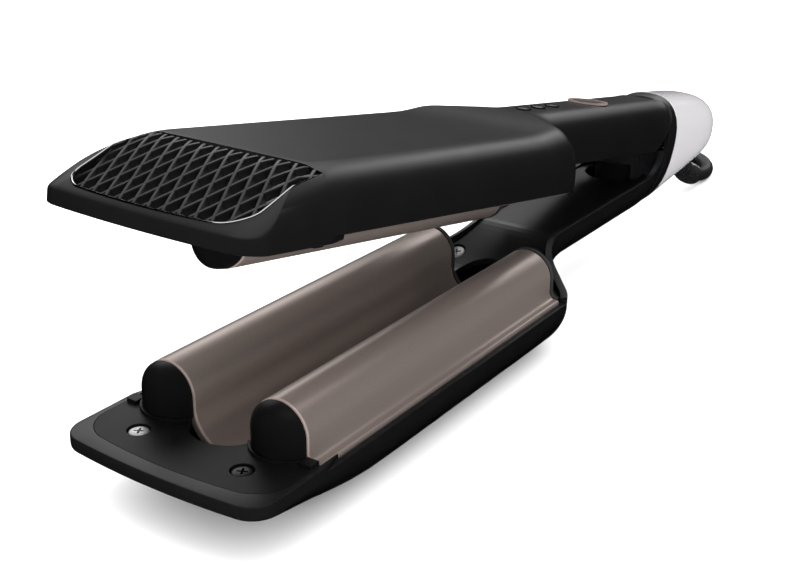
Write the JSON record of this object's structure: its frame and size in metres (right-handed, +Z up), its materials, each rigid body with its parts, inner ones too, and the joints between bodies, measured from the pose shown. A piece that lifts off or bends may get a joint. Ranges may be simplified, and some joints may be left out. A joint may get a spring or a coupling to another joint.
{
  "type": "hair crimper",
  "caption": "Open hair waver with rounded wave plates on hinged arms, lattice nose vents, sprung tail hinge in a chrome cap, power button and mains cord with plug.",
  "frame": {"origin": "centre of the box of the two arms and the tail at the surface the lower head stands on, without the cord", "axes": "+X runs from the nose to the tail, +Y across the arms, +Z up"},
  "size_m": [0.3751, 0.1343, 0.0905],
  "materials": {
    "case_black": "fine satin black moulded casing",
    "panel_black": "smooth black moulding with a soft gloss",
    "textured_black": "finely textured heat-proof black moulding",
    "grille_black": "satin black lattice",
    "backing_grey": "grey backing behind the lattice",
    "trim_silver": "thin bright trim",
    "plate_taupe": "satin rose-taupe coating on aluminium, bright at its cut edges",
    "gasket_black": "matte heat-proof rubber",
    "screw_zinc": "zinc-plated steel",
    "heater_block": "dull cast heater blocks",
    "guide_grey": "dark grey moulded guide",
    "spring_steel": "drawn spring wire",
    "bracket_steel": "folded steel sheet",
    "chrome": "polished chrome plating",
    "cord_black": "satin black sheath",
    "board_green": "lacquered circuit board",
    "switch_grey": "push switch",
    "lens_smoke": "smoked indicator lens",
    "bezel_rose": "satin rose ring"
  },
  "bodies": {
    "lower_arm": {"lower_case": "case_black", "lower_grille": "grille_black", "lower_grille_trim": "trim_silver", "lower_grille_backing": "backing_grey", "lower_nose_plate": "textured_black", "lower_barrel_caps": "gasket_black", "lower_screws": "screw_zinc", "lower_wave_plate": "plate_taupe", "lower_gasket": "gasket_black", "lower_inner_panel": "panel_black", "lower_heaters": "heater_block", "spring_guide": "guide_grey", "opening_spring": "spring_steel", "tail_collar": "case_black", "chrome_cap": "chrome", "hinge_bracket": "bracket_steel", "hinge_pin": "bracket_steel", "cord_socket": "panel_black", "strain_relief": "cord_black", "cord_run": "cord_black", "cord_coil": "cord_black", "plug_body": "cord_black", "plug_pins": "screw_zinc"},
    "upper_arm": {"upper_case": "case_black", "upper_grille": "grille_black", "upper_grille_trim": "trim_silver", "upper_grille_backing": "backing_grey", "upper_nose_plate": "textured_black", "upper_barrel_cap": "gasket_black", "upper_screws": "screw_zinc", "upper_wave_plate": "plate_taupe", "upper_gasket": "gasket_black", "upper_inner_panel": "panel_black", "upper_heaters": "heater_block", "spring_hood": "panel_black", "hinge_fork": "bracket_steel", "control_board": "board_green", "power_switch": "switch_grey", "indicator_rings": "trim_silver", "indicator_lenses": "lens_smoke", "button_bezel": "bezel_rose"},
    "power_button": {"power_button": "panel_black"},
    "cord_swivel": {"swivel_ball": "panel_black"}
  },
  "joints": [
    {"name": "arm_hinge", "type": "hinge", "parent": "lower_arm", "child": "upper_arm", "pos_m": [0.13795, 0, 0.0345], "axis": [0, -1, 0], "range_deg": [0, 10.3], "stiffness_Nm_per_rad": 1.5, "springref_deg": -20.05, "deforming": ["opening_spring"]},
    {"name": "power_button", "type": "slide", "parent": "upper_arm", "child": "power_button", "axis": [-0.1562, 0, -0.9877], "range_m": [0, 0.0008], "stiffness_N_per_m": 400, "springref_m": -0.001},
    {"name": "cord_swivel", "type": "hinge", "parent": "lower_arm", "child": "cord_swivel", "pos_m": [0.14645, 0, 0.031], "axis": [0.5, 0, -0.866], "continuous": true}
  ]
}
